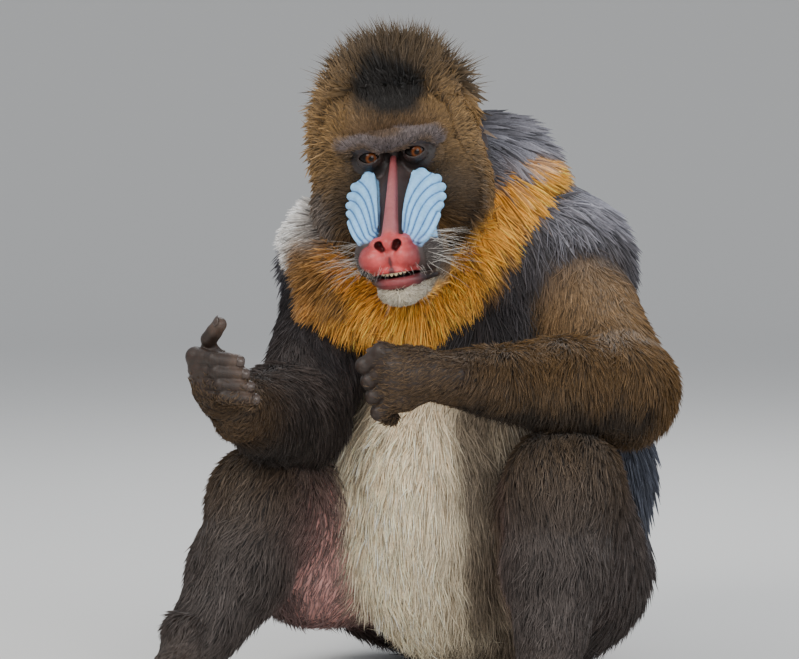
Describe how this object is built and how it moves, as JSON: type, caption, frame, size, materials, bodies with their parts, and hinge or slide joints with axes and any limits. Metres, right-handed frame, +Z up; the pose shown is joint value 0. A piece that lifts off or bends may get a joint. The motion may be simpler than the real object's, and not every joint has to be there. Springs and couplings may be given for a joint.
{
  "type": "seated male mandrill figure",
  "caption": "Life-size still figure of an adult male mandrill, seated on its rump with knees up and both fists raised, head facing forward.",
  "frame": {"origin": "on the floor, at the middle of the flat under the rump", "axes": "+Z up; -Y towards the viewer whom the face looks at; +X towards the animal's own left"},
  "size_m": [0.5597, 0.5887, 0.6562],
  "materials": {
    "coat_olive": "dense grizzled olive-brown hair",
    "coat_charcoal": "long charcoal hair with a blue-grey bloom",
    "coat_grey_brown": "short grey-brown hair",
    "coat_orange": "long orange-yellow hair",
    "coat_cream": "long cream-white hair",
    "skin_blue": "satin, grooved bare skin",
    "skin_red": "satin, moist bare skin",
    "skin_dark": "satin, wrinkled bare skin",
    "eye": "wet gloss"
  },
  "bodies": {
    "root": {"rump": "coat_grey_brown", "belly": "coat_cream", "torso": "coat_charcoal", "neck": "coat_charcoal", "tail": "coat_grey_brown", "head": "coat_olive", "beard": "coat_orange", "nose": "skin_red", "cheek_ridge_left": "skin_blue", "cheek_ridge_right": "skin_blue", "ear_left": "skin_dark", "ear_right": "skin_dark", "eye_left": "eye", "eye_right": "eye", "upper_arm_left": "coat_olive", "forearm_left": "coat_olive", "hand_left": "skin_dark", "thigh_left": "coat_grey_brown", "shank_left": "coat_grey_brown", "foot_left": "skin_dark", "upper_arm_right": "coat_olive", "forearm_right": "coat_olive", "hand_right": "skin_dark", "thigh_right": "coat_grey_brown", "shank_right": "coat_grey_brown", "foot_right": "skin_dark"}
  },
  "joints": []
}
